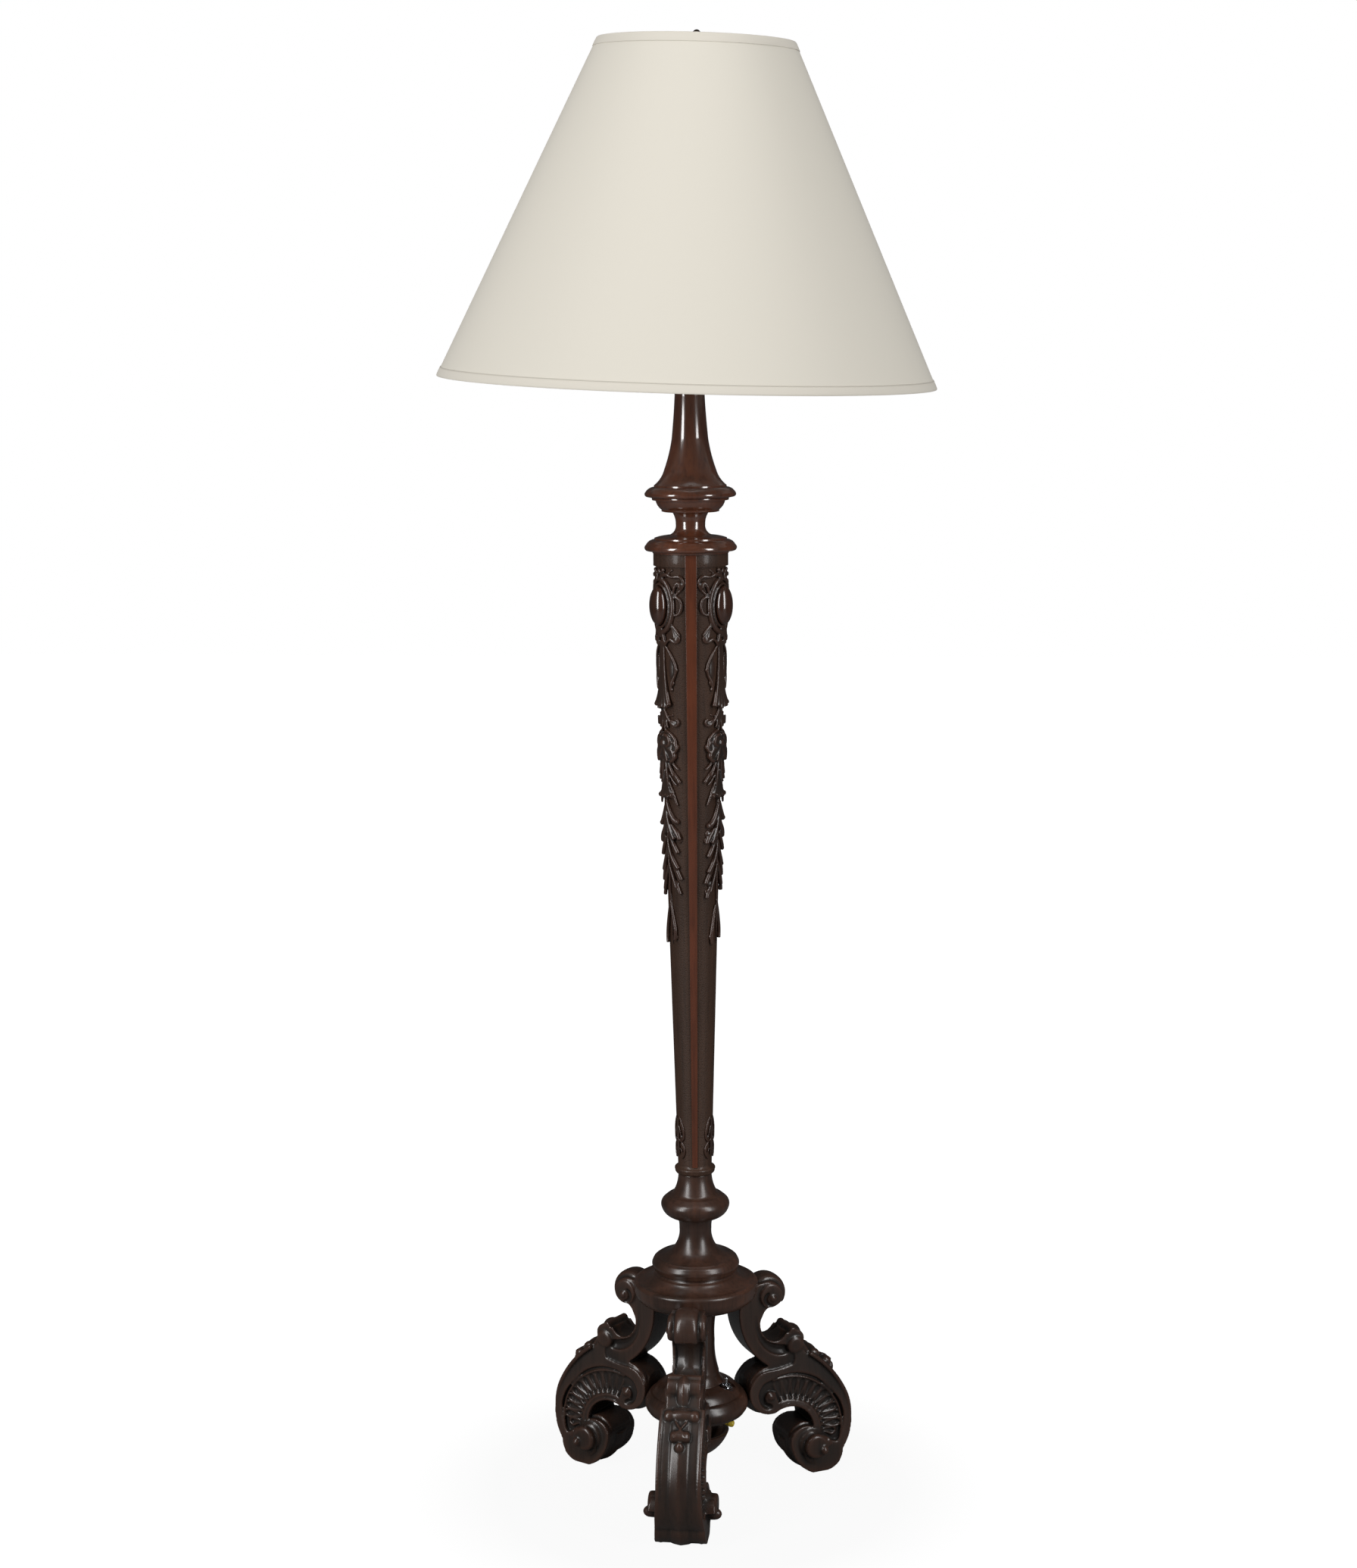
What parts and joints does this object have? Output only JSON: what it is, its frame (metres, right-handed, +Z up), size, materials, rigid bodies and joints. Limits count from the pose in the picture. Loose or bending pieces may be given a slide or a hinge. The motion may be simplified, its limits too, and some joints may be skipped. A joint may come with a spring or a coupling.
{
  "type": "floor lamp",
  "caption": "Floor lamp with a turned and carved wooden post on three scroll legs, a base toggle switch, a harp and a large empire fabric shade.",
  "frame": {"origin": "on the floor, on the axis of the post", "axes": "+Z up along the post, -Y along the front leg"},
  "size_m": [0.5598, 0.5599, 1.6861],
  "materials": {
    "dark_wood": "dark red-brown polish, satin gloss",
    "plain_wood": "bare dowel",
    "zinc_steel": "zinc plated",
    "brass": "polished",
    "liner_card": "fibre liner",
    "socket_ceramic": "glazed",
    "bulb_metal": "rolled screw cap",
    "bulb_glass": "frosted inside",
    "bulb_stem_glass": "pressed stem",
    "shade_linen": "ivory slub linen on a hard backing",
    "shade_trim": "self-fabric bias tape",
    "white_wire": "white enamel",
    "black_plastic": "moulded",
    "chrome": "bright plated",
    "wire_jacket": "brown jacket",
    "yellow_plastic": "moulded cap"
  },
  "bodies": {
    "stand": {"base_cap": "dark_wood", "carved_shaft": "dark_wood", "centre_post": "dark_wood", "check_ring": "brass", "harp": "brass", "harp_saddle": "brass", "lamp_pipe": "zinc_steel", "lamp_wire": "wire_jacket", "leg_dowels": "plain_wood", "leg_front": "dark_wood", "leg_left": "dark_wood", "leg_right": "dark_wood", "leg_screws": "zinc_steel", "lower_disc": "dark_wood", "lower_knop": "dark_wood", "lower_reel": "dark_wood", "neck_spool": "dark_wood", "neck_vase": "dark_wood", "pendant_cup": "dark_wood", "pipe_nuts": "zinc_steel", "pipe_washers": "zinc_steel", "screw_shell": "brass", "socket_cap": "brass", "socket_contact": "brass", "socket_core": "socket_ceramic", "socket_liner": "liner_card", "socket_shell": "brass", "switch_body": "black_plastic", "switch_bushing": "chrome", "switch_leads": "black_plastic", "switch_nut": "chrome", "terminal_screws": "brass", "wire_connector": "yellow_plastic"},
    "shade": {"shade_skin": "shade_linen", "shade_trim_bottom": "shade_trim", "shade_trim_top": "shade_trim", "shade_ring_bottom": "white_wire", "shade_ring_top": "white_wire", "shade_spider": "brass"},
    "finial_knob": {"finial": "dark_wood"},
    "bulb": {"bulb_cap": "bulb_metal", "bulb_glass": "bulb_glass", "bulb_stem": "bulb_stem_glass"},
    "sleeve_right": {"harp_sleeve_right": "brass"},
    "sleeve_left": {"harp_sleeve_left": "brass"},
    "toggle": {"switch_lever": "chrome"}
  },
  "joints": [
    {"name": "shade_swivel", "type": "hinge", "parent": "stand", "child": "shade", "pos_m": [0, 0, 1.3927], "axis": [0.0394, -0.0365, 0.9986], "continuous": true},
    {"name": "finial_turn", "type": "hinge", "parent": "stand", "child": "finial_knob", "pos_m": [0, 0, 1.3927], "axis": [0.0394, -0.0365, 0.9986], "continuous": true},
    {"name": "bulb_turn", "type": "hinge", "parent": "stand", "child": "bulb", "pos_m": [0, 0, 1.43], "axis": [0, 0, 1], "continuous": true},
    {"name": "sleeve_right_lift", "type": "slide", "parent": "stand", "child": "sleeve_right", "axis": [0.0394, -0.0365, 0.9986], "range_m": [0, 0.014]},
    {"name": "sleeve_left_lift", "type": "slide", "parent": "stand", "child": "sleeve_left", "axis": [0.0394, -0.0365, 0.9986], "range_m": [0, 0.014]},
    {"name": "toggle_throw", "type": "hinge", "parent": "stand", "child": "toggle", "pos_m": [0.036, -0.009, 0.12193], "axis": [1, 0, 0], "range_deg": [0, 24]}
  ]
}
